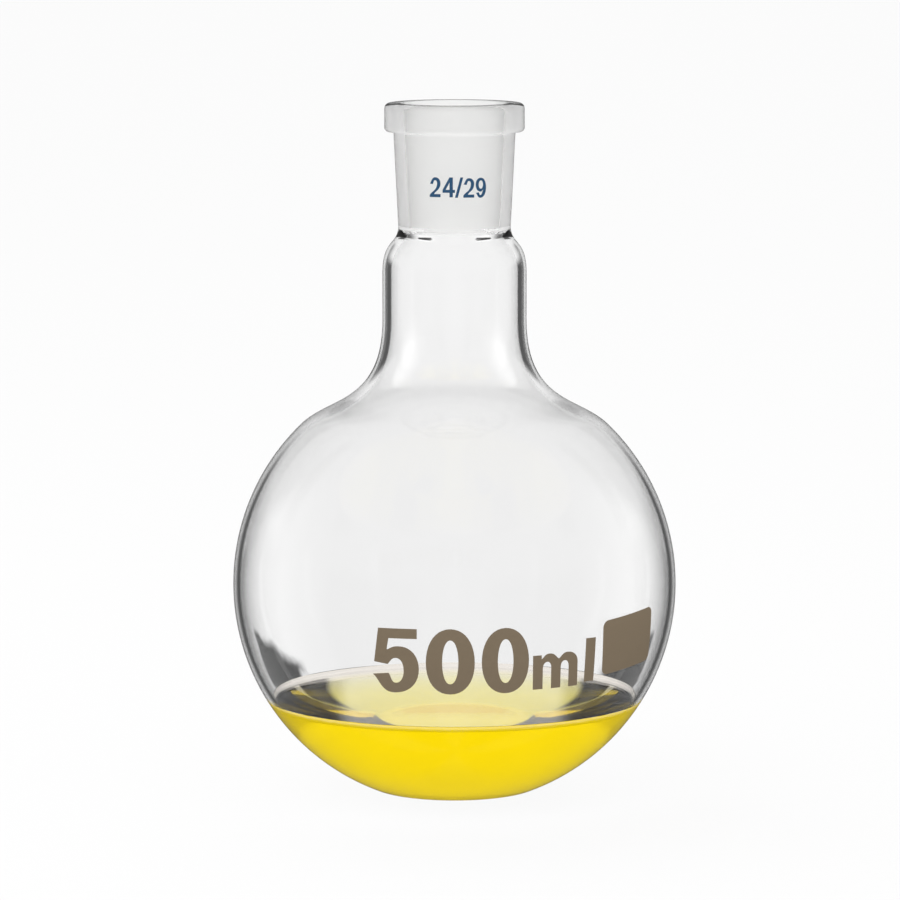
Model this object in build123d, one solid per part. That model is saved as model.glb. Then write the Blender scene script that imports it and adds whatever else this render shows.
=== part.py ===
from build123d import *
from math import acos, cos, degrees, radians, sin, sqrt
import os

# A 500 ml flat-bottom boiling flask with a 24/29 ground socket, and the liquid
# that stands in it. Millimetres, +Z up, the axis of the flask on Z and its flat
# foot on Z = 0. The flask is one blown piece, so each body is one half section
# turned about Z, and the liquid is cut from the same cavity as the wall.

# Bulb
bulb_radius = 52.5          # outside of the ball
bulb_wall = 1.5
foot_radius = 18.8          # where the ball would meet the flat foot
foot_edge_round = 6.0       # outside round between the ball and the foot
foot_wall = 2.2             # glass under the floor of the bulb
floor_edge_round = 8.0      # inside round between the ball and the floor
push_up_radius = 15.0       # shallow hollow under the foot, so that it stands on a ring
push_up_rise = 0.4

# Shoulder: the curve that carries the ball up into the neck
shoulder_angle = 44.0       # from the axis, where the curve leaves the ball
shoulder_pull = 9.0         # how far the curve runs on along the ball
shoulder_rise = 63.0        # from the middle of the ball up to the straight neck
flare_pull = 20.0           # how far the curve runs on down the neck
inner_shoulder_pull = 9.0   # the same two pulls on the inside, where the glass is thick
inner_flare_pull = 22.0

# Neck, and the waist that closes it in to the socket
neck_radius = 17.0
neck_wall = 2.0
neck_length = 11.0          # the straight stretch, where a clamp grips
waist_length = 11.0
waist_pull_low = 8.0        # pulls of the outside curve at its neck and socket ends
waist_pull_high = 4.5
inner_waist_pull_low = 6.0  # pulls of the inside curve
inner_waist_pull_high = 2.2
inner_waist_drop = 2.5      # the inside curve ends this far below the ground zone
relief_radius = 11.7        # clear bore just under the ground zone
relief_depth = 1.4          # length of the cone between the relief and the ground zone

# Ground socket 24/29: 24 mm wide at the rim, closing by 1 in 10 over 29 mm
socket_diameter = 24.0
socket_length = 29.0
socket_taper = 1 / 10
socket_wall = 2.7
collar_radius = 16.5
collar_height = 6.7
collar_top_round = 1.3
collar_low_round = 0.9
collar_root_round = 0.6     # between the collar and the cone under it
collar_round_room = 0.85    # most of the ledge under the collar that its two rounds may take
rim_inner_round = 0.5

# Liquid
liquid_height = 21.1        # free surface above the bench
meniscus_run = 0.6          # width of the band where the surface starts to climb the wall
meniscus_radius = 1.4

# Worked out from the sizes above
ball_height = sqrt(bulb_radius**2 - foot_radius**2)
flare_height = ball_height + shoulder_rise
neck_top_height = flare_height + neck_length
ground_end_height = neck_top_height + waist_length
rim_height = ground_end_height + socket_length
inner_bulb_radius = bulb_radius - bulb_wall
inner_neck_radius = neck_radius - neck_wall
ground_end_radius = (socket_diameter - socket_taper * socket_length) / 2
over_cut = 2.0              # the cavity is drawn this far past the rim


def socket_radius(height):
    """Inside radius of the ground socket at a height."""
    return ground_end_radius + (height - ground_end_height) * socket_taper / 2


def ball_arc(radius, low_height, high_angle):
    """Arc of a ball, from a flat at low_height up to an angle from the axis."""
    low_angle = degrees(acos((ball_height - low_height) / radius))
    return CenterArc((0, ball_height), radius, low_angle - 90, 180 - low_angle - high_angle)


def shoulder_curve(ball_end, radius, ball_pull, neck_pull):
    """Curve from the ball to the neck, tangent to both."""
    angle = radians(shoulder_angle)
    low_x, low_y = ball_end.X, ball_end.Y
    return Bezier(
        (low_x, low_y),
        (low_x - ball_pull * cos(angle), low_y + ball_pull * sin(angle)),
        (radius, flare_height - neck_pull),
        (radius, flare_height),
    )


def waist_curve(low_radius, high_radius, high_height, low_pull, high_pull):
    """Curve from the neck in to the foot of the socket, upright at both ends."""
    return Bezier(
        (low_radius, neck_top_height),
        (low_radius, neck_top_height + low_pull),
        (high_radius, high_height - high_pull),
        (high_radius, high_height),
    )


def round_corner(section, x, height, radius):
    """Round the corner that lies nearest to (x, height) in a section being drawn."""
    corner = section.vertices().sort_by_distance((x, height))[0]
    return fillet(corner, radius)


def outside_section():
    """Half section of the flask's outside, as if it were solid."""
    cone_top = rim_height - collar_height
    low_cone_radius = ground_end_radius + socket_wall
    high_cone_radius = socket_radius(cone_top) + socket_wall
    ledge = collar_radius - high_cone_radius
    fit = min(1, collar_round_room * ledge / (collar_low_round + collar_root_round))
    with BuildSketch(Plane.XZ) as section:
        with BuildLine():
            Line((0, 0), (foot_radius, 0))
            ball = ball_arc(bulb_radius, 0, shoulder_angle)
            shoulder_curve(ball @ 1, neck_radius, shoulder_pull, flare_pull)
            Line((neck_radius, flare_height), (neck_radius, neck_top_height))
            waist_curve(neck_radius, low_cone_radius, ground_end_height,
                        waist_pull_low, waist_pull_high)
            Polyline(
                (low_cone_radius, ground_end_height),
                (high_cone_radius, cone_top),
                (collar_radius, cone_top),
                (collar_radius, rim_height),
                (0, rim_height),
                (0, 0),
            )
        make_face()
        round_corner(section, foot_radius, 0, foot_edge_round)
        round_corner(section, high_cone_radius, cone_top, fit * collar_root_round)
        round_corner(section, collar_radius, cone_top, fit * collar_low_round)
        round_corner(section, collar_radius, rim_height, collar_top_round)
    return section.sketch


def cavity_section():
    """Half section of the space inside the flask, drawn on past the rim."""
    floor_radius = sqrt(inner_bulb_radius**2 - (ball_height - foot_wall)**2)
    waist_height = ground_end_height - inner_waist_drop
    mouth_height = rim_height + over_cut
    with BuildSketch(Plane.XZ) as section:
        with BuildLine():
            Line((0, foot_wall), (floor_radius, foot_wall))
            ball = ball_arc(inner_bulb_radius, foot_wall, shoulder_angle)
            shoulder_curve(ball @ 1, inner_neck_radius,
                           inner_shoulder_pull, inner_flare_pull)
            Line((inner_neck_radius, flare_height), (inner_neck_radius, neck_top_height))
            waist_curve(inner_neck_radius, relief_radius, waist_height,
                        inner_waist_pull_low, inner_waist_pull_high)
            Polyline(
                (relief_radius, waist_height),
                (relief_radius, ground_end_height - relief_depth),
                (ground_end_radius, ground_end_height),
                (socket_radius(mouth_height), mouth_height),
                (0, mouth_height),
                (0, foot_wall),
            )
        make_face()
        round_corner(section, floor_radius, foot_wall, floor_edge_round)
    return section.sketch


def push_up_section():
    """Half section of the shallow hollow under the foot."""
    with BuildSketch(Plane.XZ) as section:
        with BuildLine():
            dome = ThreePointArc(
                (-push_up_radius, 0), (0, push_up_rise), (push_up_radius, 0))
            Line(dome @ 1, dome @ 0)
        make_face()
        split(bisect_by=Plane.YZ)
    return section.sketch


def fill_section():
    """Half section of everything under the liquid's free surface, out past the wall."""
    wall_radius = sqrt(inner_bulb_radius**2 - (ball_height - liquid_height)**2)
    flat_radius = wall_radius - meniscus_run
    with BuildSketch(Plane.XZ) as section:
        with BuildLine():
            Line((0, liquid_height), (flat_radius, liquid_height))
            climb = CenterArc((flat_radius, liquid_height + meniscus_radius),
                              meniscus_radius, -90, 60)
            Polyline(climb @ 1, ((climb @ 1).X, 0), (0, 0), (0, liquid_height))
        make_face()
    return section.sketch


def turned(section):
    """The body that a half section makes when it is turned about the axis."""
    return revolve(section, axis=Axis.Z, revolution_arc=360)


def flask_body():
    """The blown flask: bulb, neck and ground socket in one piece."""
    section = outside_section() - cavity_section() - push_up_section()
    rim_bore = section.vertices().sort_by_distance((socket_diameter / 2, 0, rim_height))[0]
    return turned(fillet(rim_bore, rim_inner_round))


def yellow_liquid():
    """The liquid in the bulb, with its surface drawn up a little at the wall."""
    return turned(cavity_section() & fill_section())


parts = {
    "flask_body": flask_body(),
    "yellow_liquid": yellow_liquid(),
}

os.makedirs("parts", exist_ok=True)
for name, solid in parts.items():
    solid.label = name
    export_step(solid, f"parts/{name}.step")
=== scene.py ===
import logging
import math
from abc import ABC, abstractmethod
from collections.abc import Callable
from dataclasses import dataclass, field
from enum import Enum
from functools import partial

import bmesh
import bpy
from mathutils import Matrix, Vector


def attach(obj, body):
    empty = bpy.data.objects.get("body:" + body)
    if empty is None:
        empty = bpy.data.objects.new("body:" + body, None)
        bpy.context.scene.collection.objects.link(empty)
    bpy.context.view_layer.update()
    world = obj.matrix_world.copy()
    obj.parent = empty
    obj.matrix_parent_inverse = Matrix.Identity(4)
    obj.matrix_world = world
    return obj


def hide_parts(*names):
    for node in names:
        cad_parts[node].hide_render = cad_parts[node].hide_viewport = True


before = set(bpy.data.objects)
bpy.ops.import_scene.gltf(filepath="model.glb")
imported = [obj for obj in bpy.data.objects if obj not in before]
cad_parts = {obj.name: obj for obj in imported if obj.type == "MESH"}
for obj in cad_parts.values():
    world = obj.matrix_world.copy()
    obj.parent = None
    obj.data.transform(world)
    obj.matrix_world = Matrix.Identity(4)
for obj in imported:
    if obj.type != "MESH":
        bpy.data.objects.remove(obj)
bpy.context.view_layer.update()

# A 500 ml flat-bottom boiling flask with a 24/29 ground socket and a yellow liquid.
# Sizes below are in millimetres, as a glassblower's drawing gives them, and MM turns
# them into the frame's metres. The axis of the flask is Z and its foot is on Z = 0.

MM = 0.001
FULL_TURN = 2 * math.pi
DEGREES = 180 / math.pi
SHARP_ANGLE = math.radians(28)
FLAT_ANGLE = 0.01  # an edge that turns by less than this, in radians, runs straight on
SAME_POINT = 1e-4  # points nearer than this, in millimetres, are one point
log = logging.getLogger("boiling_flask")

Colour = tuple[float, float, float]
Point = tuple[float, float]
Edge = tuple[float, float]  # where a soft edge starts and ends
BLACK: Colour = (0.0, 0.0, 0.0)
WHITE: Colour = (1.0, 1.0, 1.0)


# ---------------------------------------------------------------- shader expressions


class Value:
    """A number that varies over a surface: a shader socket with Python's operators."""

    def __init__(self, nodes: "NodeBench", socket: bpy.types.NodeSocket) -> None:
        """Keep the socket and the bench that adds nodes beside it."""
        self.nodes = nodes
        self.socket = socket

    def __add__(self, other: "Value | float") -> "Value":
        """Sum."""
        return self.nodes.maths("ADD", self, other)

    def __sub__(self, other: "Value | float") -> "Value":
        """Difference."""
        return self.nodes.maths("SUBTRACT", self, other)

    def __rsub__(self, other: float) -> "Value":
        """Difference from a plain number."""
        return self.nodes.maths("SUBTRACT", other, self)

    def __mul__(self, other: "Value | float") -> "Value":
        """Product."""
        return self.nodes.maths("MULTIPLY", self, other)

    def __truediv__(self, other: "Value | float") -> "Value":
        """Quotient."""
        return self.nodes.maths("DIVIDE", self, other)

    __radd__ = __add__
    __rmul__ = __mul__

    def larger(self, other: "Value | float") -> "Value":
        """The larger of two values."""
        return self.nodes.maths("MAXIMUM", self, other)

    def unsigned(self) -> "Value":
        """The value without its sign."""
        return self.nodes.maths("ABSOLUTE", self)

    def folded(self, reach: float) -> "Value":
        """The value folded to and fro between nought and a reach."""
        return self.nodes.maths("PINGPONG", self, reach)

    def toward(self, other: "Value", share: "Value") -> "Value":
        """A share of the way from this value to another."""
        return self + (other - self) * share

    def up_to(self, count: int) -> "Value":
        """One where a count is this or less, and nought over it."""
        return self.smooth(count + 0.6, count + 0.4)

    def over(self, count: int) -> "Value":
        """One where a count is over this, and nought up to it."""
        return self.smooth(count + 0.4, count + 0.6)

    def smooth(self, low: float, high: float) -> "Value":
        """Nought under low and one over high, with a smooth step between.

        Args:
            low: Where the step starts. It may lie over high, and then the step falls.
            high: Where the step ends.

        Returns:
            The step, between 0 and 1.
        """
        flip = low > high
        node = self.nodes.add(
            "ShaderNodeMapRange",
            {"interpolation_type": "SMOOTHSTEP"},
            {"Value": self, "From Min": min(low, high), "From Max": max(low, high),
             "To Min": float(flip), "To Max": float(not flip)},
        )
        return Value(self.nodes, node.outputs["Result"])


class NodeBench:
    """Adds nodes to one material's or world's tree."""

    def __init__(self, tree: bpy.types.NodeTree) -> None:
        """Start from an empty tree."""
        self.tree = tree
        tree.nodes.clear()

    def add(self, kind: str, settings: dict | None = None,
            inputs: dict | None = None) -> bpy.types.Node:
        """Add one node.

        Args:
            kind: The node's type, such as ShaderNodeMath.
            settings: Its own settings, set before its sockets. "stops" fills a colour ramp.
            inputs: Values, sockets or Values for its input sockets, by name or number.

        Returns:
            The new node.
        """
        node = self.tree.nodes.new(kind)
        for name, setting in (settings or {}).items():
            if name == "stops":
                self.fill_ramp(node.color_ramp, setting)
            else:
                setattr(node, name, setting)
        for name, value in (inputs or {}).items():
            if isinstance(value, Value):
                value = value.socket
            if isinstance(value, bpy.types.NodeSocket):
                self.tree.links.new(value, node.inputs[name])
            elif node.inputs[name].type == "RGBA" and len(value) == 3:
                node.inputs[name].default_value = (*value, 1.0)
            else:
                node.inputs[name].default_value = value
        return node

    @staticmethod
    def fill_ramp(ramp: bpy.types.ColorRamp, stops: list[tuple[float, float]]) -> None:
        """Give a colour ramp grey stops.

        Args:
            ramp: The ramp of a Color Ramp node.
            stops: Pairs of place and grey level, in order.
        """
        while len(ramp.elements) < len(stops):
            ramp.elements.new(1.0)
        for element, (place, level) in zip(ramp.elements, stops):
            element.position = place
            element.color = (level, level, level, 1.0)

    def maths(self, operation: str, first: "Value | float", second: "Value | float" = 0.0) -> Value:
        """One Math node on one or two values."""
        node = self.add("ShaderNodeMath", {"operation": operation}, {0: first, 1: second})
        return Value(self, node.outputs[0])

    def ramp(self, value: Value, stops: list[tuple[float, float]]) -> Value:
        """Grey level of a value between 0 and 1, read off a ramp's stops."""
        node = self.add("ShaderNodeValToRGB", {"stops": stops}, {"Fac": value})
        return Value(self, node.outputs["Color"])

    def noise(self, place: bpy.types.NodeSocket, scale: float) -> Value:
        """Even noise about one half."""
        node = self.add("ShaderNodeTexNoise", {}, {"Vector": place, "Scale": scale, "Detail": 3.0})
        return Value(self, node.outputs[0])

    def ray(self, fact: str) -> Value:
        """What the Light Path node tells of the ray that asks."""
        return Value(self, self.add("ShaderNodeLightPath").outputs[fact])

    def split(self, vector: bpy.types.NodeSocket) -> tuple[Value, Value, Value]:
        """The x, y and z of a vector."""
        node = self.add("ShaderNodeSeparateXYZ", {}, {0: vector})
        return tuple(Value(self, node.outputs[axis]) for axis in "XYZ")

    def spot(self) -> bpy.types.NodeSocket:
        """Object coordinates, in metres."""
        return self.add("ShaderNodeTexCoord").outputs["Object"]

    def around(self) -> tuple[Value, Value]:
        """Distance from the flask's axis and height over its foot, in millimetres."""
        x, y, z = self.split(self.spot())
        return self.maths("SQRT", x * x + y * y) / MM, z / MM

    def mixed(self, share: "Value | float", first: "Colour | bpy.types.NodeSocket",
              second: "Colour | bpy.types.NodeSocket") -> bpy.types.NodeSocket:
        """Colour between two colours.

        Args:
            share: Share of the second colour.
            first: The colour where the share is 0.
            second: The colour where the share is 1.

        Returns:
            The mixed colour's socket.
        """
        # The node has sockets for numbers, vectors and colours; these are its colour ones
        node = self.add("ShaderNodeMix", {"data_type": "RGBA"}, {0: share, 6: first, 7: second})
        return node.outputs[2]


# ---------------------------------------------------------------- sizes


@dataclass(frozen=True)
class FlaskSizes:
    """The flask's own sizes, in millimetres and degrees, as its CAD body has them."""

    bulb_radius: float = 52.5
    bulb_wall: float = 1.5
    foot_radius: float = 18.8
    foot_edge_round: float = 6.0
    foot_wall: float = 2.2
    floor_edge_round: float = 8.0
    push_up_radius: float = 15.0
    push_up_rise: float = 0.4
    shoulder_angle: float = 44.0
    shoulder_pull: float = 9.0
    shoulder_rise: float = 63.0
    flare_pull: float = 20.0
    inner_shoulder_pull: float = 9.0
    inner_flare_pull: float = 22.0
    neck_radius: float = 17.0
    neck_wall: float = 2.0
    neck_length: float = 11.0
    waist_length: float = 11.0
    waist_pulls: Point = (8.0, 4.5)
    inner_waist_pulls: Point = (6.0, 2.2)
    inner_waist_drop: float = 2.5
    relief_radius: float = 11.7
    relief_depth: float = 1.4
    socket_diameter: float = 24.0
    socket_length: float = 29.0
    socket_taper: float = 0.1
    socket_wall: float = 2.7
    collar_radius: float = 16.5
    collar_height: float = 6.7
    collar_top_round: float = 1.3
    collar_low_round: float = 0.9
    collar_root_round: float = 0.6
    rim_inner_round: float = 0.5
    liquid_height: float = 21.1
    meniscus_run: float = 0.6
    meniscus_radius: float = 1.4

    @property
    def ball_height(self) -> float:
        """Height of the middle of the ball."""
        return math.sqrt(self.bulb_radius**2 - self.foot_radius**2)

    @property
    def inner_bulb_radius(self) -> float:
        """Inside radius of the ball."""
        return self.bulb_radius - self.bulb_wall

    @property
    def flare_height(self) -> float:
        """Height where the shoulder becomes the straight neck."""
        return self.ball_height + self.shoulder_rise

    @property
    def neck_top_height(self) -> float:
        """Height where the straight neck ends."""
        return self.flare_height + self.neck_length

    @property
    def ground_end_height(self) -> float:
        """Height of the lower end of the ground zone."""
        return self.neck_top_height + self.waist_length

    @property
    def rim_height(self) -> float:
        """Height of the flask."""
        return self.ground_end_height + self.socket_length

    @property
    def ground_end_radius(self) -> float:
        """Bore at the lower end of the ground zone."""
        return (self.socket_diameter - self.socket_taper * self.socket_length) / 2

    @property
    def flat_radius(self) -> float:
        """Radius at which the liquid's flat surface starts to climb the wall."""
        rise = self.ball_height - self.liquid_height
        return math.sqrt(self.inner_bulb_radius**2 - rise**2) - self.meniscus_run

    def socket_radius(self, height: float) -> float:
        """Inside radius of the ground socket at a height."""
        return self.ground_end_radius + (height - self.ground_end_height) * self.socket_taper / 2


# ---------------------------------------------------------------- turned sections


class Section:
    """Half section of a turned body, drawn stroke by stroke as radius and height."""

    def __init__(self, radius: float, height: float) -> None:
        """Start at a point."""
        self.points: list[Point] = [(radius, height)]

    def line(self, radius: float, height: float, steps: int = 1) -> "Section":
        """Straight stroke to a point, in equal steps.

        Args:
            radius: Radius of the stroke's end.
            height: Height of the stroke's end.
            steps: How many pieces the stroke has.

        Returns:
            The section itself.
        """
        start_radius, start_height = self.points[-1]
        for step in range(1, steps + 1):
            share = step / steps
            self.points.append((
                start_radius + (radius - start_radius) * share,
                start_height + (height - start_height) * share,
            ))
        return self

    def arc(self, centre: Point, radius: float, start: float, end: float,
            step: float = 2.0) -> "Section":
        """Arc about a centre, joined to the last point.

        Args:
            centre: Radius and height of the arc's centre.
            radius: The arc's radius.
            start: Angle of its first point, in degrees from outwards, upwards positive.
            end: Angle of its last point.
            step: About how many degrees lie between its points.

        Returns:
            The section itself.
        """
        count = max(2, round(abs(end - start) / step))
        for index in range(count + 1):
            point = on_circle(centre, radius, start + (end - start) * index / count)
            if index or math.dist(point, self.points[-1]) > SAME_POINT:
                self.points.append(point)
        return self

    def curve(self, first_pull: Point, last_pull: Point, end: Point, steps: int = 20) -> "Section":
        """Cubic curve from the last point to an end.

        Args:
            first_pull: The point that the curve sets out towards.
            last_pull: The point that it comes in from.
            end: The curve's end.
            steps: How many pieces the curve has.

        Returns:
            The section itself.
        """
        start = self.points[-1]
        for step in range(1, steps + 1):
            t = step / steps
            shares = ((1 - t) ** 3, 3 * t * (1 - t) ** 2, 3 * t * t * (1 - t), t**3)
            corners = (start, first_pull, last_pull, end)
            self.points.append((
                sum(share * corner[0] for share, corner in zip(shares, corners)),
                sum(share * corner[1] for share, corner in zip(shares, corners)),
            ))
        return self

    def rounded(self, corner: Point, end: Point, radius: float, steps: int = 6) -> "Section":
        """Straight stroke to a corner and on towards an end, with the corner rounded.

        Args:
            corner: The corner's own place.
            end: A point on the stroke that leaves the corner.
            radius: Radius of the round.
            steps: How many pieces the round has.

        Returns:
            The section itself.
        """
        start, middle, finish = Vector(self.points[-1]), Vector(corner), Vector(end)
        back, onward = (start - middle).normalized(), (finish - middle).normalized()
        half = back.angle(onward) / 2
        centre = middle + (back + onward).normalized() * (radius / math.sin(half))
        run = radius / math.tan(half)
        low, high = middle + back * run - centre, middle + onward * run - centre
        sweep = low.angle_signed(high)
        for step in range(steps + 1):
            turned = Matrix.Rotation(-sweep * step / steps, 2) @ low
            self.points.append(tuple(centre + turned))
        return self

    def turned(self, name: str, steps: int = 192) -> bpy.types.Mesh:
        """Turn the section about the axis into a closed mesh with its faces outwards.

        Args:
            name: Name of the mesh.
            steps: Number of faces round the axis.

        Returns:
            The mesh, in metres.
        """
        bench = bmesh.new()
        corners = [bench.verts.new((radius * MM, 0.0, height * MM))
                   for radius, height in self.points]
        strokes = [bench.edges.new(pair) for pair in zip(corners, corners[1:])]
        bmesh.ops.spin(bench, geom=corners + strokes, cent=(0, 0, 0), axis=(0, 0, 1),
                       dvec=(0, 0, 0), angle=FULL_TURN, steps=steps, use_merge=True,
                       use_duplicate=False)
        bmesh.ops.remove_doubles(bench, verts=bench.verts, dist=SAME_POINT * MM)
        bmesh.ops.recalc_face_normals(bench, faces=bench.faces)
        shade(bench)
        return finished(name, bench)


def on_circle(centre: Point, radius: float, angle: float) -> Point:
    """Point of a circle at an angle in degrees from outwards, upwards positive."""
    angle = math.radians(angle)
    return (centre[0] + radius * math.cos(angle), centre[1] + radius * math.sin(angle))


def shade(bench: bmesh.types.BMesh) -> None:
    """Shade a mesh smooth, but for edges that are really sharp.

    Args:
        bench: The mesh to shade.
    """
    for face in bench.faces:
        face.smooth = True
    for edge in bench.edges:
        edge.smooth = edge.calc_face_angle(0.0) < SHARP_ANGLE


def finished(name: str, bench: bmesh.types.BMesh) -> bpy.types.Mesh:
    """Make a plain mesh of a bmesh, which is freed.

    Args:
        name: Name of the mesh.
        bench: The bmesh.

    Returns:
        The mesh.
    """
    mesh = bpy.data.meshes.new(name)
    bench.to_mesh(mesh)
    bench.free()
    return mesh


def added(name: str, data: bpy.types.ID) -> bpy.types.Object:
    """Put a mesh, a lamp or a camera in the scene, at the origin.

    Args:
        name: Name of the object.
        data: What the object shows.

    Returns:
        The object.
    """
    piece = bpy.data.objects.new(name, data)
    bpy.context.scene.collection.objects.link(piece)
    return piece


# ---------------------------------------------------------------- finishes


@dataclass(frozen=True)
class ClearGlass:
    """Blown borosilicate glass, with the ground zone inside its socket. Its grey tint carries
    painted shade: greyer on the dry bulb than on the neck, and white where the liquid wets the
    wall.

    Heights are in millimetres, over the foot or past the place that the name gives.
    """

    # Grey tints of the glass with painted shade: darker on the dry bulb than on the neck, and none
    # where the liquid wets the wall
    bulb_tint_and_shade: Colour = (0.94, 0.94, 0.94)
    neck_tint_and_shade: Colour = (0.96, 0.96, 0.96)
    neck_starts: Edge = (85.0, 115.0)
    wet_tint_unshaded: Colour = WHITE
    wet_past_level: Edge = (0.4, -0.1)
    gloss: Colour = (0.35, 0.35, 0.35)
    refraction: float = 1.473
    shadow: Colour = (0.85, 0.85, 0.85)
    ground_colour: Colour = (0.93, 0.93, 0.92)
    ground_roughness: float = 0.5
    ground_clear: float = 0.85
    ground_depth: float = 0.9
    ground_soft: float = 0.2
    ground_past_end: Edge = (-1.2, -0.6)
    ground_past_rim: Edge = (0.6, -0.2)

    def made(self, sizes: FlaskSizes) -> bpy.types.Material:
        """Mix the glass.

        Args:
            sizes: The flask's sizes, which tell where it is wetted and where ground.

        Returns:
            The glass's material.
        """
        material, nodes = new_material("clear_glass")
        radius, height = nodes.around()
        # Painted shade in the glass's tint: the dry bulb is greyer than the neck, and the wetted
        # wall is left white
        dry_tint_and_shade = nodes.mixed(height.smooth(*self.neck_starts), self.bulb_tint_and_shade, self.neck_tint_and_shade)
        wetted = height.smooth(*(sizes.liquid_height + past for past in self.wet_past_level))
        glass = nodes.add("ShaderNodeBsdfPrincipled", {}, {
            "Base Color": nodes.mixed(wetted, dry_tint_and_shade, self.wet_tint_unshaded), "Roughness": 0.0,
            "IOR": self.refraction, "Transmission Weight": 1.0, "Specular Tint": self.gloss,
        })
        ground = nodes.add("ShaderNodeBsdfPrincipled", {}, {
            "Base Color": self.ground_colour, "Roughness": self.ground_roughness,
            "IOR": self.refraction, "Transmission Weight": self.ground_clear,
        })
        rise = height - sizes.ground_end_height
        bore = rise * (sizes.socket_taper / 2) + sizes.ground_end_radius
        inside = (bore + self.ground_depth - radius).smooth(0.0, self.ground_soft)
        low = height.smooth(*(sizes.ground_end_height + past for past in self.ground_past_end))
        high = height.smooth(*(sizes.rim_height + past for past in self.ground_past_rim))
        surface = nodes.add("ShaderNodeMixShader", {}, {
            0: inside * low * high, 1: glass.outputs[0], 2: ground.outputs[0],
        })
        let_light_through(nodes, surface, self.shadow)
        return material


@dataclass(frozen=True)
class YellowLiquid:
    """A thin liquid with a strong yellow dye, clear but for a little cloud at its wall."""

    tint: Colour = (1.0, 0.95, 0.9)
    refraction: float = 1.333
    dye: Colour = (1.0, 0.953, 0.033)
    strength: float = 75.0
    cloud: Colour = (1.0, 0.74, 0.0)
    cloudiness: float = 0.75
    skin: float = 0.02
    skin_soft: float = 0.01
    climb_past_flat: Edge = (0.02, 0.12)
    climb_soft: float = 0.05

    def made(self, sizes: FlaskSizes) -> bpy.types.Material:
        """Mix the liquid.

        Args:
            sizes: The flask's sizes, which tell where the liquid's surface lies.

        Returns:
            The liquid's material.
        """
        material, nodes = new_material("yellow_liquid")
        liquid = nodes.add("ShaderNodeBsdfPrincipled", {}, {
            "Base Color": self.tint, "Roughness": 0.0, "IOR": self.refraction,
            "Transmission Weight": 1.0,
        })
        radius, height = nodes.around()
        level = sizes.liquid_height - self.skin
        below = height.smooth(level + self.skin_soft, level)
        climb = radius.smooth(*(sizes.flat_radius + past for past in self.climb_past_flat))
        climb = climb * height.smooth(level, level + self.climb_soft)
        # Only what is met first is clouded, or the far wall would darken the whole body
        first = nodes.ray("Transmission Depth").up_to(1)
        cloud = nodes.add("ShaderNodeBsdfDiffuse", {}, {"Color": self.cloud})
        wall = nodes.add("ShaderNodeMixShader", {}, {
            0: below.larger(climb) * first * self.cloudiness,
            1: liquid.outputs[0], 2: cloud.outputs[0],
        })
        dye = nodes.add("ShaderNodeVolumeAbsorption", {}, {
            "Color": self.dye, "Density": self.strength,
        })
        let_light_through(nodes, wall, self.tint, dye)
        return material


@dataclass(frozen=True)
class Enamel:
    """Print fired on to the glass: a thin matt coat of one colour, a little mottled."""

    name: str
    colour: Colour
    roughness: float = 0.45
    mottle_scale: float = 900.0
    mottle_dark: float = 0.9
    mottle_roughness: float = 0.2

    def made(self) -> bpy.types.Material:
        """Mix the enamel.

        Returns:
            The print's material.
        """
        material, nodes = new_material(self.name)
        mottle = nodes.noise(nodes.spot(), self.mottle_scale)
        dark = tuple(self.mottle_dark * level for level in self.colour)
        coat = nodes.add("ShaderNodeBsdfPrincipled", {}, {
            "Base Color": nodes.mixed(mottle, dark, self.colour),
            "Roughness": mottle * self.mottle_roughness + self.roughness,
        })
        nodes.add("ShaderNodeOutputMaterial", {}, {"Surface": coat.outputs[0]})
        return material


def new_material(name: str) -> tuple[bpy.types.Material, NodeBench]:
    """Start a material.

    Args:
        name: Name of the material.

    Returns:
        The material, and the bench that fills its empty tree.
    """
    material = bpy.data.materials.new(name)
    material.use_nodes = True
    return material, NodeBench(material.node_tree)


def let_light_through(nodes: NodeBench, surface: bpy.types.Node, passed: Colour,
                      volume: bpy.types.Node | None = None) -> None:
    """Finish a clear material: light that falls through it reaches the bench.

    Args:
        nodes: The material's bench.
        surface: The shader that rays other than a lamp's meet.
        passed: The colour of the light that the material lets through.
        volume: The shader of what is inside the surface.
    """
    clear = nodes.add("ShaderNodeBsdfTransparent", {}, {"Color": passed})
    both = nodes.add("ShaderNodeMixShader", {}, {
        0: nodes.ray("Is Shadow Ray"), 1: surface.outputs[0], 2: clear.outputs[0],
    })
    inside = {"Volume": volume.outputs[0]} if volume else {}
    nodes.add("ShaderNodeOutputMaterial", {}, {"Surface": both.outputs[0], **inside})


# ---------------------------------------------------------------- glass and liquid


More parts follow.
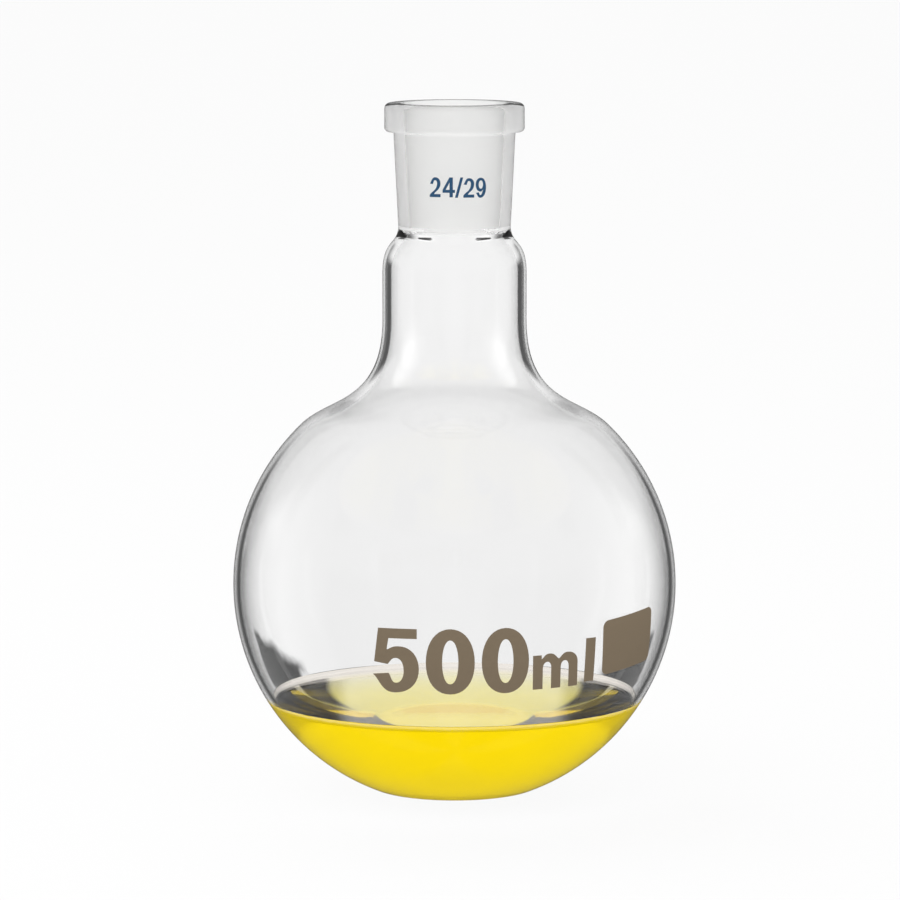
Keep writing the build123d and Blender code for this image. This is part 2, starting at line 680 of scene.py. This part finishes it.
@dataclass
class BlownFlask:
    """The flask: bulb, shoulder, neck and ground socket in one piece of glass."""

    sizes: FlaskSizes
    finish: ClearGlass = field(default_factory=ClearGlass)

    def outside(self) -> Section:
        """Draw the outside of the wall.

        Returns:
            The section from the middle of the foot up to the rim.
        """
        s = self.sizes
        push_radius = (s.push_up_radius**2 + s.push_up_rise**2) / (2 * s.push_up_rise)
        push_angle = math.degrees(math.asin(s.push_up_radius / push_radius))
        edge_radius = math.sqrt((s.bulb_radius - s.foot_edge_round) ** 2
                                - (s.ball_height - s.foot_edge_round) ** 2)
        edge_angle = math.degrees(math.atan2(s.foot_edge_round - s.ball_height, edge_radius))
        cone_top = s.rim_height - s.collar_height
        low_cone = s.ground_end_radius + s.socket_wall
        high_cone = s.socket_radius(cone_top) + s.socket_wall
        section = Section(0.0, s.push_up_rise)
        section.arc((0.0, s.push_up_rise - push_radius), push_radius, 90, 90 - push_angle, 0.6)
        section.line(edge_radius, 0.0, 3)
        section.arc((edge_radius, s.foot_edge_round), s.foot_edge_round, -90, edge_angle, 4)
        section.arc((0.0, s.ball_height), s.bulb_radius, edge_angle, 90 - s.shoulder_angle)
        self.shoulder(section, s.neck_radius, s.shoulder_pull, s.flare_pull)
        section.line(s.neck_radius, s.neck_top_height, 6)
        section.curve((s.neck_radius, s.neck_top_height + s.waist_pulls[0]),
                      (low_cone, s.ground_end_height - s.waist_pulls[1]),
                      (low_cone, s.ground_end_height))
        section.line(high_cone - s.socket_taper / 2, cone_top - 1.0, 10)
        section.rounded((high_cone, cone_top), (s.collar_radius, cone_top), s.collar_root_round)
        section.rounded((s.collar_radius, cone_top), (s.collar_radius, s.rim_height),
                        s.collar_low_round)
        section.rounded((s.collar_radius, s.rim_height), (0.0, s.rim_height), s.collar_top_round)
        return section

    def shoulder(self, section: Section, radius: float, ball_pull: float,
                 neck_pull: float) -> None:
        """Add the curve from the ball up into the neck.

        Args:
            section: The section, which ends where the shoulder leaves the ball.
            radius: Radius of the straight neck.
            ball_pull: How far the curve runs on along the ball.
            neck_pull: How far it runs on down the neck.
        """
        s = self.sizes
        run_on = on_circle(section.points[-1], ball_pull, 180 - s.shoulder_angle)
        section.curve(run_on, (radius, s.flare_height - neck_pull), (radius, s.flare_height), 30)

    def cavity(self) -> Section:
        """Draw the inside of the wall.

        Returns:
            The section from the middle of the floor up to the rim.
        """
        s = self.sizes
        bore = s.neck_radius - s.neck_wall
        floor_radius = math.sqrt((s.inner_bulb_radius - s.floor_edge_round) ** 2
                                 - (s.ball_height - s.foot_wall - s.floor_edge_round) ** 2)
        floor_angle = math.degrees(math.atan2(s.foot_wall + s.floor_edge_round - s.ball_height,
                                              floor_radius))
        waist_height = s.ground_end_height - s.inner_waist_drop
        section = Section(0.0, s.foot_wall)
        section.line(floor_radius, s.foot_wall, 5)
        section.arc((floor_radius, s.foot_wall + s.floor_edge_round), s.floor_edge_round,
                    -90, floor_angle, 4)
        section.arc((0.0, s.ball_height), s.inner_bulb_radius, floor_angle, 90 - s.shoulder_angle)
        self.shoulder(section, bore, s.inner_shoulder_pull, s.inner_flare_pull)
        section.line(bore, s.neck_top_height, 6)
        section.curve((bore, s.neck_top_height + s.inner_waist_pulls[0]),
                      (s.relief_radius, waist_height - s.inner_waist_pulls[1]),
                      (s.relief_radius, waist_height))
        section.line(s.relief_radius, s.ground_end_height - s.relief_depth, 2)
        section.line(s.ground_end_radius, s.ground_end_height, 2)
        section.line(s.socket_radius(s.rim_height - 1.0), s.rim_height - 1.0, 16)
        section.rounded((s.socket_diameter / 2, s.rim_height), (s.collar_radius, s.rim_height),
                        s.rim_inner_round, 4)
        return section

    def build(self) -> list[bpy.types.Object]:
        """Turn the wall and dress it.

        Returns:
            A list with the one object.
        """
        wall = self.outside()
        wall.points += reversed(self.cavity().points)
        flask = added("blown_flask", wall.turned("blown_flask"))
        flask.visible_diffuse = False
        flask.data.materials.append(self.finish.made(self.sizes))
        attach(flask, "root")
        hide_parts("flask_body")
        return [flask]


@dataclass
class Liquid:
    """The liquid in the bulb. It wets the glass, so its skin lies just inside the wall."""

    sizes: FlaskSizes
    finish: YellowLiquid = field(default_factory=YellowLiquid)
    wetting: float = 0.3

    def build(self) -> list[bpy.types.Object]:
        """Turn the liquid and dress it.

        Returns:
            A list with the one object.
        """
        s = self.sizes
        floor = s.foot_wall - self.wetting
        edge = s.floor_edge_round + self.wetting
        ball = s.inner_bulb_radius + self.wetting
        floor_radius = math.sqrt((ball - edge) ** 2 - (s.ball_height - floor - edge) ** 2)
        floor_angle = math.degrees(math.atan2(floor + edge - s.ball_height, floor_radius))
        climb = (s.flat_radius, s.liquid_height + s.meniscus_radius)
        top_angle = self.contact_angle(climb, ball)
        contact = on_circle(climb, s.meniscus_radius, top_angle)
        wall_angle = math.degrees(math.atan2(contact[1] - s.ball_height, contact[0]))
        section = Section(0.0, floor)
        section.line(floor_radius, floor, 5)
        section.arc((floor_radius, floor + edge), edge, -90, floor_angle, 4)
        section.arc((0.0, s.ball_height), ball, floor_angle, wall_angle)
        section.arc(climb, s.meniscus_radius, top_angle, -90, 3)
        section.line(0.0, s.liquid_height, 12)
        liquid = added("liquid_fill", section.turned("liquid_fill"))
        liquid.data.materials.append(self.finish.made(s))
        liquid.visible_shadow = liquid.visible_diffuse = False
        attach(liquid, "root")
        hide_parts("yellow_liquid")
        return [liquid]

    def contact_angle(self, climb: Point, ball: float) -> float:
        """Find where the climbing surface meets the wetted ball, by halving.

        Args:
            climb: Centre of the climbing surface's arc.
            ball: Radius of the wetted ball.

        Returns:
            The angle on the arc, in degrees.
        """
        low, high = -90.0, 0.0
        for _ in range(40):
            middle = (low + high) / 2
            point = on_circle(climb, self.sizes.meniscus_radius, middle)
            inside = math.dist(point, (0.0, self.sizes.ball_height)) < ball
            low, high = (middle, high) if inside else (low, middle)
        return low


# ---------------------------------------------------------------- print


class Bend(Enum):
    """How an outline passes one of a mark's points."""

    CORNER = "straight in and straight out"
    LEVEL = "round, level at the point"
    UPRIGHT = "round, upright at the point"


Stroke = list[tuple[float, float, Bend]]
C, L, U = Bend.CORNER, Bend.LEVEL, Bend.UPRIGHT
ROUND_PULL = 0.6  # how far a round bend reaches towards the next point


def oval(left: float, low: float, right: float, high: float) -> Stroke:
    """Outline of an upright oval that fills a box."""
    across, up = (left + right) / 2, (low + high) / 2
    return [(across, low, L), (left, up, U), (across, high, L), (right, up, U)]


# Outlines of the heavy marks, in a box one wide and one high
ZERO = [oval(0, 0, 1, 1), oval(0.335, 0.165, 0.665, 0.835)]
FIVE = [[
    (0.118, 1.0, C), (0.957, 1.0, C), (0.957, 0.852, C), (0.345, 0.852, C), (0.305, 0.68, C),
    (0.57, 0.735, L), (1.0, 0.385, U), (0.47, 0.0, L), (0.0, 0.29, C), (0.348, 0.315, C),
    (0.50, 0.16, L), (0.675, 0.36, U), (0.505, 0.555, L), (0.325, 0.455, C), (0.027, 0.488, C),
]]
EM = [[
    (0.0, 0.0, C), (0.0, 0.97, C), (0.185, 0.97, C), (0.185, 0.86, C), (0.36, 1.0, L),
    (0.565, 0.84, C), (0.77, 1.0, L), (1.0, 0.70, U), (1.0, 0.0, C), (0.79, 0.0, C),
    (0.79, 0.60, U), (0.70, 0.775, L), (0.605, 0.58, U), (0.605, 0.0, C), (0.395, 0.0, C),
    (0.395, 0.60, U), (0.31, 0.775, L), (0.21, 0.58, U), (0.21, 0.0, C),
]]
EL = [[(0.0, 0.0, C), (0.0, 1.0, C), (1.0, 1.0, C), (1.0, 0.0, C)]]

# Outlines of the light marks
TWO = [[
    (0.0, 0.0, C), (1.0, 0.0, C), (1.0, 0.155, C), (0.40, 0.155, C), (0.99, 0.70, U), (0.5, 1.0, L),
    (0.02, 0.68, C), (0.28, 0.65, C), (0.5, 0.855, L), (0.69, 0.70, U), (0.0, 0.11, C),
]]
FOUR = [
    [(0.56, 0.0, C), (0.56, 0.225, C), (0.0, 0.225, C), (0.0, 0.375, C), (0.55, 1.0, C),
     (0.83, 1.0, C), (0.83, 0.375, C), (1.0, 0.375, C), (1.0, 0.225, C), (0.83, 0.225, C),
     (0.83, 0.0, C)],
    [(0.25, 0.375, C), (0.56, 0.375, C), (0.56, 0.74, C)],
]
SLASH = [[(0.0, 0.0, C), (0.34, 0.0, C), (1.0, 1.0, C), (0.66, 1.0, C)]]
NINE = [[
    (0.0, 0.66, U), (0.48, 1.0, L), (1.0, 0.52, U), (0.43, 0.0, L), (0.02, 0.25, C),
    (0.28, 0.275, C), (0.44, 0.135, L), (0.73, 0.42, C), (0.44, 0.31, L),
], oval(0.27, 0.45, 0.70, 0.865)]


@dataclass(frozen=True)
class Mark:
    """One mark of the print, in a box laid on the glass.

    The box is in millimetres of arc: right from the front of the flask and up from a
    ring round the wall. The mark may lean over and rise to one side, as transfers do.
    """

    name: str
    outline: list[Stroke]
    left: float
    right: float
    low: float
    high: float
    rise: float = 0.0
    lean: float = 0.0
    corner: float = 0.0

    def flat(self) -> bpy.types.Mesh:
        """Fill the mark's outline.

        Returns:
            A flat mesh in the mark's box, in millimetres.
        """
        curve = bpy.data.curves.new(self.name, "CURVE")
        curve.dimensions, curve.fill_mode, curve.resolution_u = "2D", "BOTH", 10
        for stroke in self.outline:
            self.draw(curve, stroke)
        sketch = bpy.data.objects.new(self.name, curve)
        mesh = bpy.data.meshes.new_from_object(sketch)
        bpy.data.objects.remove(sketch)
        bpy.data.curves.remove(curve)
        return mesh

    def draw(self, curve: bpy.types.Curve, stroke: Stroke) -> None:
        """Add one closed outline to a curve.

        Args:
            curve: The curve.
            stroke: The outline's points.
        """
        wide, tall = self.right - self.left, self.high - self.low
        spline = curve.splines.new("BEZIER")
        spline.bezier_points.add(len(stroke) - 1)
        spline.use_cyclic_u = True
        for index, (across, up, bend) in enumerate(stroke):
            before, after = stroke[index - 1], stroke[(index + 1) % len(stroke)]
            point = spline.bezier_points[index]
            point.co = (self.left + across * wide, self.low + up * tall, 0.0)
            if bend is Bend.CORNER:
                point.handle_left_type = point.handle_right_type = "VECTOR"
                continue
            point.handle_left_type = point.handle_right_type = "FREE"
            for side, other in (("handle_left", before), ("handle_right", after)):
                reach = Vector(((other[0] - across) * wide, 0.0, 0.0))
                if bend is Bend.UPRIGHT:
                    reach = Vector((0.0, (other[1] - up) * tall, 0.0))
                setattr(point, side, point.co + reach * ROUND_PULL)


@dataclass
class Print(ABC):
    """Marks of one enamel, fired on to one part of the flask."""

    sizes: FlaskSizes
    finish: Enamel
    marks: tuple[Mark, ...]
    thickness: float = 0.05
    sunk: float = 0.02
    grid: float = 1.0

    @abstractmethod
    def on_wall(self, mark: Mark, point: Vector) -> Vector:
        """Where a point of a mark's box lies on the wall, in millimetres."""

    def build(self) -> list[bpy.types.Object]:
        """Lay every mark on the wall.

        Returns:
            The marks' objects.
        """
        enamel = self.finish.made()
        pieces = []
        for mark in self.marks:
            coat = laid(mark.name, mark.flat(), partial(self.on_wall, mark),
                        (self.sunk, self.thickness), self.grid, mark.corner)
            coat.data.materials.append(enamel)
            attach(coat, "root")
            pieces.append(coat)
        return pieces


@dataclass
class BulbPrint(Print):
    """The volume and the field for writing on, on the front of the ball."""

    finish: Enamel = Enamel("brown_enamel", (0.20, 0.15, 0.093))
    marks: tuple[Mark, ...] = (
        Mark("volume_five", FIVE, -19.1, -8.2, -18.6, -2.9),
        Mark("volume_first_zero", ZERO, -6.6, 4.6, -18.8, -2.8),
        Mark("volume_second_zero", ZERO, 6.2, 17.3, -18.7, -2.7),
        Mark("volume_m", EM, 18.3, 29.9, -18.2, -9.4, rise=0.015),
        Mark("volume_l", EL, 31.85, 34.65, -17.3, -6.5, lean=0.035),
        Mark("writing_field", EL, 37.3, 55.6, -16.3, -3.0, rise=0.083, corner=1.6),
    )

    def on_wall(self, mark: Mark, point: Vector) -> Vector:
        """Lay a point on the ball.

        Args:
            mark: The mark that the point is of.
            point: The point in the mark's box, and how far it stands out.

        Returns:
            The point on the ball, in millimetres.
        """
        across = point.x + mark.lean * (point.y - mark.low)
        latitude = (point.y + mark.rise * (point.x - mark.left)) / self.sizes.bulb_radius
        turn = across / (self.sizes.bulb_radius * math.cos(latitude))
        radius = self.sizes.bulb_radius + point.z
        ring = radius * math.cos(latitude)
        return Vector((ring * math.sin(turn), -ring * math.cos(turn),
                       self.sizes.ball_height + radius * math.sin(latitude)))


@dataclass
class SocketPrint(Print):
    """The socket's size, small on the front of the cone, up from its ground end."""

    finish: Enamel = Enamel("blue_enamel", (0.010, 0.075, 0.175), 0.4)
    marks: tuple[Mark, ...] = (
        Mark("size_first_two", TWO, -5.95, -3.3, 7.75, 12.4),
        Mark("size_four", FOUR, -2.8, 0.1, 7.75, 12.4),
        Mark("size_slash", SLASH, 0.1, 2.0, 7.65, 12.4),
        Mark("size_second_two", TWO, 2.05, 4.65, 7.65, 12.2),
        Mark("size_nine", NINE, 5.05, 7.7, 7.55, 12.25),
    )
    grid: float = 0.8

    def on_wall(self, mark: Mark, point: Vector) -> Vector:
        """Lay a point on the cone.

        Args:
            mark: The mark that the point is of.
            point: The point in the mark's box, and how far it stands out.

        Returns:
            The point on the cone, in millimetres.
        """
        height = self.sizes.ground_end_height + point.y
        wall = self.sizes.socket_radius(height) + self.sizes.socket_wall
        turn, radius = point.x / wall, wall + point.z
        return Vector((radius * math.sin(turn), -radius * math.cos(turn), height))


def laid(name: str, flat: bpy.types.Mesh, place: Callable[[Vector], Vector],
         depth: tuple[float, float], grid: float, corner: float) -> bpy.types.Object:
    """Turn a flat mark into a thin coat laid on a curved wall.

    Args:
        name: Name of the piece.
        flat: The mark's flat mesh, in millimetres. It is used up.
        place: Function that lays a point on the wall.
        depth: How far the coat reaches into the wall and stands out of it.
        grid: How far apart the flat mark is cut, so that it can bend.
        corner: Radius that rounds the mark's corners, or nought.

    Returns:
        The coat's object.
    """
    bench = bmesh.new()
    bench.from_mesh(flat)
    bpy.data.meshes.remove(flat)
    bmesh.ops.remove_doubles(bench, verts=bench.verts, dist=SAME_POINT)
    if corner:
        bmesh.ops.dissolve_limit(bench, angle_limit=FLAT_ANGLE, verts=bench.verts,
                                 edges=bench.edges)
        bmesh.ops.bevel(bench, geom=bench.verts[:], offset=corner, segments=8, profile=0.5,
                        affect="VERTICES", material=-1)
    for axis in (0, 1):
        start = min(vertex.co[axis] for vertex in bench.verts)
        end = max(vertex.co[axis] for vertex in bench.verts)
        normal = Vector((1 - axis, axis, 0))
        for cut in range(1, math.ceil((end - start) / grid)):
            whole = bench.verts[:] + bench.edges[:] + bench.faces[:]
            bmesh.ops.bisect_plane(bench, geom=whole, plane_co=normal * (start + cut * grid),
                                   plane_no=normal)
    bmesh.ops.recalc_face_normals(bench, faces=bench.faces)
    if bench.faces[0].normal.z < 0:
        bmesh.ops.reverse_faces(bench, faces=bench.faces)
    bmesh.ops.translate(bench, verts=bench.verts, vec=(0, 0, depth[1]))
    bmesh.ops.solidify(bench, geom=bench.faces[:], thickness=sum(depth))
    for vertex in bench.verts:
        vertex.co = place(vertex.co) * MM
    bmesh.ops.recalc_face_normals(bench, faces=bench.faces)
    shade(bench)
    return added(name, finished(name, bench))


# ---------------------------------------------------------------- studio


@dataclass(frozen=True)
class Room:
    """The white room round the flask, with soft dark cards for the glass to bend.

    Places are in degrees: over the horizon, or aside from the middle of a gap between
    two cards. The dark and light of the dry wall, of the lines along its edges, of the
    wetted wall and of the liquid's surface differ, and the number of surfaces that a ray
    has met and passed on its way tells them apart. The room itself counts as one met.
    """

    line_passes: int = 3
    dry_meets: int = 5
    mirror_passes: int = 4
    mirror_meets: int = 6
    surface_meets: int = 7
    body_meets: int = 9

    half_gap: float = 22.5
    card: tuple[Point, ...] = (
        (0.0, 1.0), (5.0, 1.0), (7.0, 0.95), (8.8, 0.84), (10.3, 0.72), (12.8, 0.45),
        (16.0, 0.22), (21.0, 0.09), (25.5, 0.06),
    )
    card_top: Edge = (-5.4, -6.9)
    card_gain: float = 0.2
    gain_aside: Edge = (2.0, 6.0)

    scrap_sides: tuple[Edge, Edge] = ((3.3, 4.0), (9.5, 8.5))
    scrap_heights: tuple[Edge, Edge] = ((-10.2, -10.7), (-13.6, -13.0))
    scrap_dark: float = 0.94
    torn_scale: float = 60.0
    torn_reach: float = 0.8
    torn_drop: float = 0.5

    line_gap: float = 45.0
    line_aside: Edge = (13.0, 22.0)
    line_top: Edge = (14.0, 3.0)
    line_dark: float = 0.9

    steep: Edge = (-14.0, -24.0)
    steep_dark: float = 0.1
    rib_aside: Edge = (15.5, 18.0)
    rib_foot: Edge = (-58.0, -48.0)
    body_gain: float = 0.12
    corner_aside: Edge = (6.0, 10.0)
    corner_dark: float = 0.85

    surface_aside: Edge = (2.8, 2.1)
    surface_heights: tuple[Edge, Edge] = ((-16.0, -9.0), (24.0, 15.0))
    surface_dark: float = 0.1

    gloss_rise: Edge = (-10.0, 60.0)
    gloss: Edge = (0.1, 0.6)
    bounce: float = 1.4

    def dry_wall(self, nodes: NodeBench, turn: Value, tilt: Value, torn: Value) -> Value:
        """What shows through the dry walls: the soft cards, and torn scraps low in front.

        Args:
            nodes: The world's bench.
            turn: Direction round the room.
            tilt: Direction over the horizon.
            torn: How ragged the scraps are there.

        Returns:
            The grey level.
        """
        aside = turn.folded(self.half_gap)
        end = self.card[-1][0]
        card = nodes.ramp(aside / end, [(place / end, level) for place, level in self.card])
        card = card * (1.0 + self.card_gain * aside.smooth(*self.gain_aside))
        off, low = turn.unsigned() + torn, tilt + torn * self.torn_drop
        scrap = self.between(off, self.scrap_sides) * self.between(low, self.scrap_heights)
        dry = 1.0 - (1.0 - card) * tilt.smooth(*self.card_top)
        return dry * (1.0 - self.scrap_dark * scrap)

    def wall_line(self, turn: Value, tilt: Value) -> Value:
        """What shows by one turn inside the wall: the dark lines along the edges."""
        line = turn.folded(self.line_gap).smooth(*self.line_aside) * self.line_dark
        return 1.0 - line * tilt.smooth(*self.line_top)

    def wet_wall(self, turn: Value, tilt: Value, met: Value) -> Value:
        """What shows through the liquid.

        Args:
            turn: Direction round the room.
            tilt: Direction over the horizon.
            met: How many surfaces the ray has met.

        Returns:
            The grey level.
        """
        aside, steep = turn.folded(self.half_gap), tilt.smooth(*self.steep)
        rib = aside.smooth(*self.rib_aside) * steep * tilt.smooth(*self.rib_foot)
        wet = (1.0 - self.steep_dark * steep) * (1.0 - rib)
        corner = met.over(self.body_meets) * aside.smooth(*self.corner_aside)
        body = met.over(self.surface_meets)
        return wet * (1.0 + self.body_gain * body) * (1.0 - self.corner_dark * corner)

    def mirrored(self, turn: Value, tilt: Value) -> Value:
        """What shows in the liquid's surface: one bright window in each gap."""
        window = turn.folded(self.half_gap).smooth(*self.surface_aside)
        window = window * self.between(tilt, self.surface_heights)
        return window * (1.0 - self.surface_dark) + self.surface_dark

    @staticmethod
    def between(value: Value, edges: tuple[Edge, Edge]) -> Value:
        """One between two soft edges, and nought outside them."""
        return value.smooth(*edges[0]) * value.smooth(*edges[1])

    def hang(self, nodes: NodeBench) -> None:
        """Fill the world's tree.

        Args:
            nodes: The world's bench.
        """
        way = nodes.add("ShaderNodeTexCoord").outputs["Generated"]
        x, y, z = nodes.split(way)
        turn = nodes.maths("ARCTAN2", x, y) * DEGREES
        tilt = nodes.maths("ARCSINE", z) * DEGREES
        torn = nodes.noise(way, self.torn_scale) * (2 * self.torn_reach) - self.torn_reach
        met, passed = nodes.ray("Ray Depth"), nodes.ray("Transmission Depth")

        dry = self.dry_wall(nodes, turn, tilt, torn)
        dry = dry.toward(self.wall_line(turn, tilt), passed.up_to(self.line_passes))
        wet = self.wet_wall(turn, tilt, met)
        mirror = met.up_to(self.mirror_meets) * passed.up_to(self.mirror_passes)
        wet = wet.toward(self.mirrored(turn, tilt), mirror)
        through = dry.toward(wet, met.over(self.dry_meets) * passed.over(self.line_passes))
        gloss = tilt.smooth(*self.gloss_rise) * (self.gloss[1] - self.gloss[0]) + self.gloss[0]

        # A mix's share stops at one, so its second colour is as bright as the level may be
        bent = nodes.mixed(through * 0.5, BLACK, (2.0, 2.0, 2.0))
        sight = nodes.mixed(nodes.ray("Is Glossy Ray"), WHITE, nodes.mixed(gloss, BLACK, WHITE))
        sight = nodes.mixed(nodes.ray("Is Transmission Ray"), sight, bent)
        sight = nodes.mixed(nodes.ray("Diffuse Depth").over(0), sight, (self.bounce,) * 3)
        back = nodes.add("ShaderNodeBackground", {}, {"Color": sight, "Strength": 1.0})
        nodes.add("ShaderNodeOutputWorld", {}, {"Surface": back.outputs[0]})


@dataclass
class Studio:
    """Pale bench, soft light, and the camera. Places are in metres."""

    room: Room = Room()
    camera_place: tuple[float, float, float] = (-0.00106, -1.2, 0.22882)
    camera_pitch: float = 7.03
    lens: float = 204.2
    film_width: float = 36.0
    bench_radius: float = 6.0
    bench_colour: Colour = (0.66, 0.66, 0.66)
    bench_glow: float = 0.06
    key_place: tuple[float, float, float] = (-0.6, -0.4, 1.3)
    key_aim: tuple[float, float, float] = (0.0, 0.0, 0.08)
    key_size: float = 0.9
    key_watts: float = 1.2

    def camera(self) -> None:
        """Place the camera, level with its horizon and looking a little down."""
        data = bpy.data.cameras.new("camera")
        data.lens, data.sensor_width = self.lens, self.film_width
        data.clip_start, data.clip_end = 0.05, 50.0
        camera = added("camera", data)
        camera.location = self.camera_place
        camera.rotation_euler = (math.radians(90 - self.camera_pitch), 0.0, 0.0)
        bpy.context.scene.camera = camera

    def bench_top(self) -> None:
        """Lay a wide white bench top, which shows the flask's shadow."""
        bench = bmesh.new()
        bmesh.ops.create_circle(bench, cap_ends=True, segments=96, radius=self.bench_radius)
        floor = added("bench_top", finished("bench_top", bench))
        floor.visible_transmission = floor.visible_glossy = False
        material, nodes = new_material("bench_white")
        matt = nodes.add("ShaderNodeBsdfDiffuse", {}, {"Color": self.bench_colour})
        glow = nodes.add("ShaderNodeEmission", {}, {"Color": WHITE, "Strength": self.bench_glow})
        lit = nodes.add("ShaderNodeAddShader", {}, {0: matt.outputs[0], 1: glow.outputs[0]})
        both = nodes.add("ShaderNodeMixShader", {}, {
            0: nodes.ray("Is Camera Ray"), 1: matt.outputs[0], 2: lit.outputs[0],
        })
        nodes.add("ShaderNodeOutputMaterial", {}, {"Surface": both.outputs[0]})
        floor.data.materials.append(material)

    def sky(self) -> None:
        """Hang the room round the flask."""
        world = bpy.data.worlds.new("studio")
        world.use_nodes = True
        bpy.context.scene.world = world
        self.room.hang(NodeBench(world.node_tree))

    def key(self) -> None:
        """Hang one soft square lamp that faces the flask."""
        data = bpy.data.lights.new("soft_key", "AREA")
        data.shape, data.size, data.energy = "SQUARE", self.key_size, self.key_watts
        lamp = added("soft_key", data)
        lamp.location = self.key_place
        lamp.rotation_mode = "QUATERNION"
        away = Vector(self.key_place) - Vector(self.key_aim)
        lamp.rotation_quaternion = away.to_track_quat("Z", "Y")
        lamp.visible_glossy = lamp.visible_transmission = lamp.visible_camera = False

    def build(self) -> None:
        """Set the whole studio up."""
        bpy.context.scene.view_settings.view_transform = "Standard"
        self.camera()
        self.bench_top()
        self.sky()
        self.key()


def main() -> None:
    """Build every piece."""
    logging.basicConfig(level=logging.INFO, format="%(name)s: %(message)s")
    sizes = FlaskSizes()
    Studio().build()
    for maker in (BlownFlask(sizes), Liquid(sizes), BulbPrint(sizes), SocketPrint(sizes)):
        for piece in maker.build():
            log.info("%s: %d faces", piece.name, len(piece.data.polygons))


if __name__ == "__main__":
    main()
